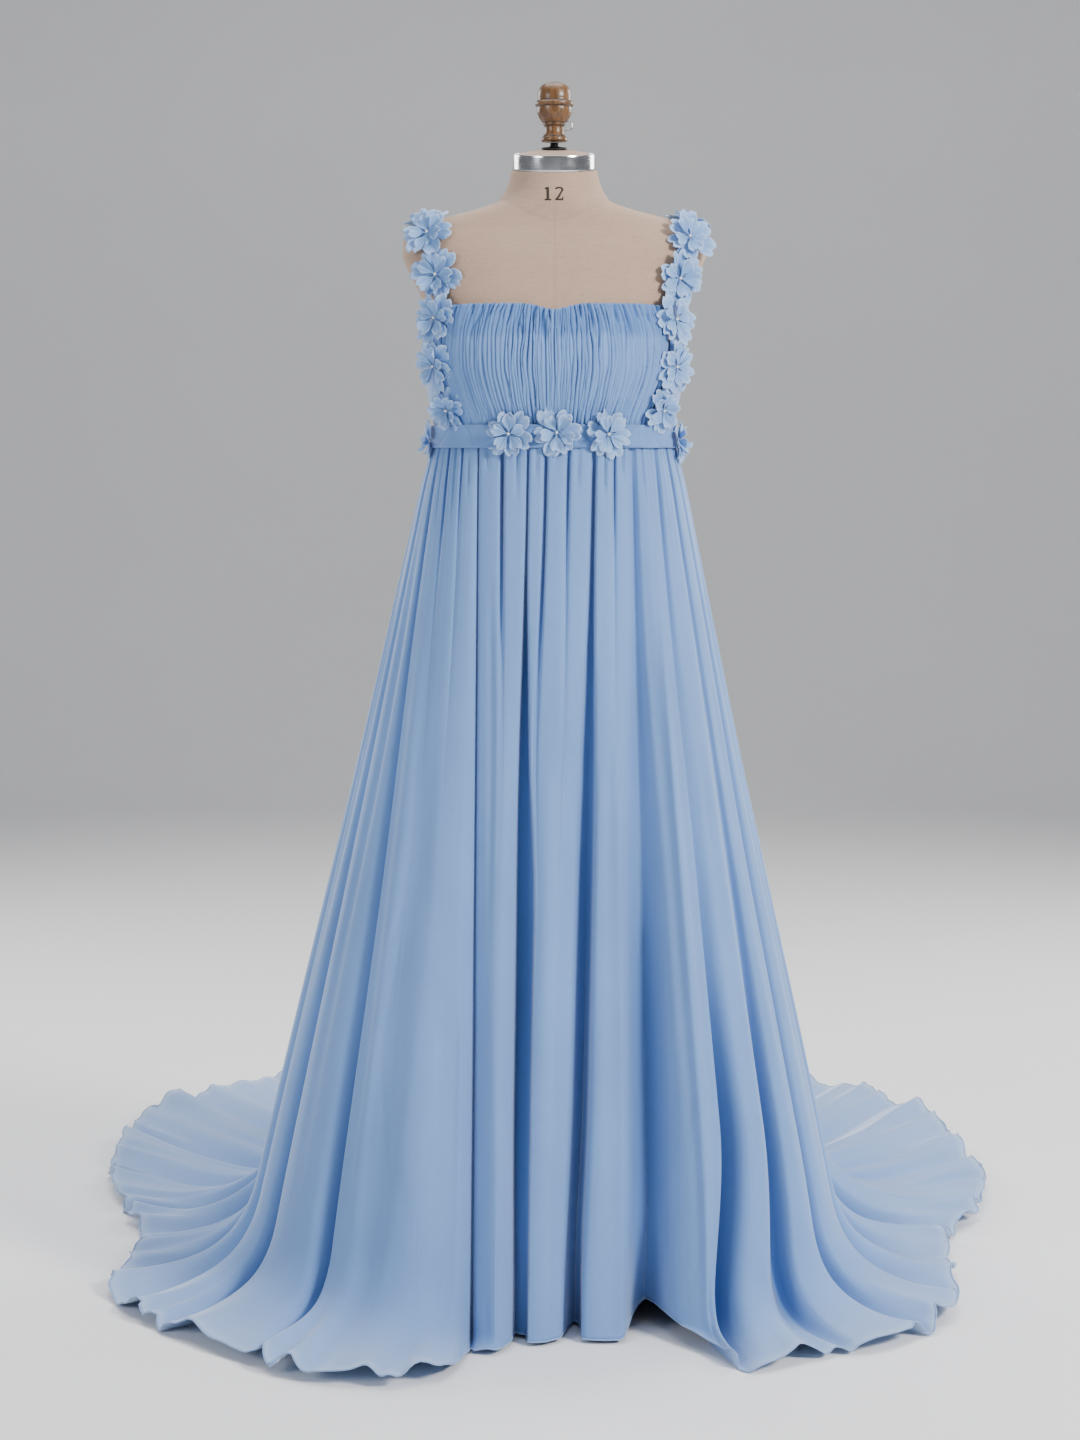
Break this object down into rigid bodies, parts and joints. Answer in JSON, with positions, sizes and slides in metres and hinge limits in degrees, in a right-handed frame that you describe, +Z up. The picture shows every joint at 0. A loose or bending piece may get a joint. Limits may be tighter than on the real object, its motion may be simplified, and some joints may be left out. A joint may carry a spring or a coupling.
{
  "type": "maternity gown on a dress form",
  "caption": "Long empire-waist maternity gown in sky-blue chiffon with a ruched bust, flower-covered straps and a train, on a linen dress form.",
  "frame": {"origin": "centre of the stand base's flat underside, on the floor under the pole", "axes": "+Z up the pole; -Y towards the gown's front; +X towards the wearer's left side, which is on the right as seen from the front"},
  "size_m": [1.3797, 1.7428, 1.6097],
  "materials": {
    "gown_chiffon": "soft matt, slightly sheer",
    "petal_chiffon": "matt, frayed edges",
    "form_linen": "matt woven",
    "neck_chrome": "polished",
    "finial_wood": "varnished",
    "stand_iron": "semi-gloss black"
  },
  "bodies": {
    "root": {"stand_base": "stand_iron", "stand_pole": "stand_iron", "form_torso": "form_linen", "form_neck_ring": "neck_chrome", "form_neck_cap": "form_linen", "finial_stem": "stand_iron", "finial_knob": "finial_wood", "finial_wire_hook": "neck_chrome", "bodice_front": "gown_chiffon", "bodice_back_left": "gown_chiffon", "bodice_back_right": "gown_chiffon", "waistband": "gown_chiffon", "skirt_front": "gown_chiffon", "skirt_back_right": "gown_chiffon", "skirt_back_left": "gown_chiffon", "strap_left": "gown_chiffon", "flower_strap_left_1": "petal_chiffon", "flower_strap_left_2": "petal_chiffon", "flower_strap_left_3": "petal_chiffon", "flower_strap_left_4": "petal_chiffon", "flower_strap_left_5": "petal_chiffon", "flower_strap_left_6": "petal_chiffon", "flower_strap_left_7": "petal_chiffon", "flower_strap_left_8": "petal_chiffon", "flower_strap_left_9": "petal_chiffon", "strap_right": "gown_chiffon", "flower_strap_right_1": "petal_chiffon", "flower_strap_right_2": "petal_chiffon", "flower_strap_right_3": "petal_chiffon", "flower_strap_right_4": "petal_chiffon", "flower_strap_right_5": "petal_chiffon", "flower_strap_right_6": "petal_chiffon", "flower_strap_right_7": "petal_chiffon", "flower_strap_right_8": "petal_chiffon", "flower_strap_right_9": "petal_chiffon", "flower_band_1": "petal_chiffon", "flower_band_2": "petal_chiffon", "flower_band_3": "petal_chiffon", "flower_band_4": "petal_chiffon", "flower_band_5": "petal_chiffon", "flower_band_6": "petal_chiffon", "flower_band_7": "petal_chiffon", "flower_band_8": "petal_chiffon", "flower_band_9": "petal_chiffon"}
  },
  "joints": []
}
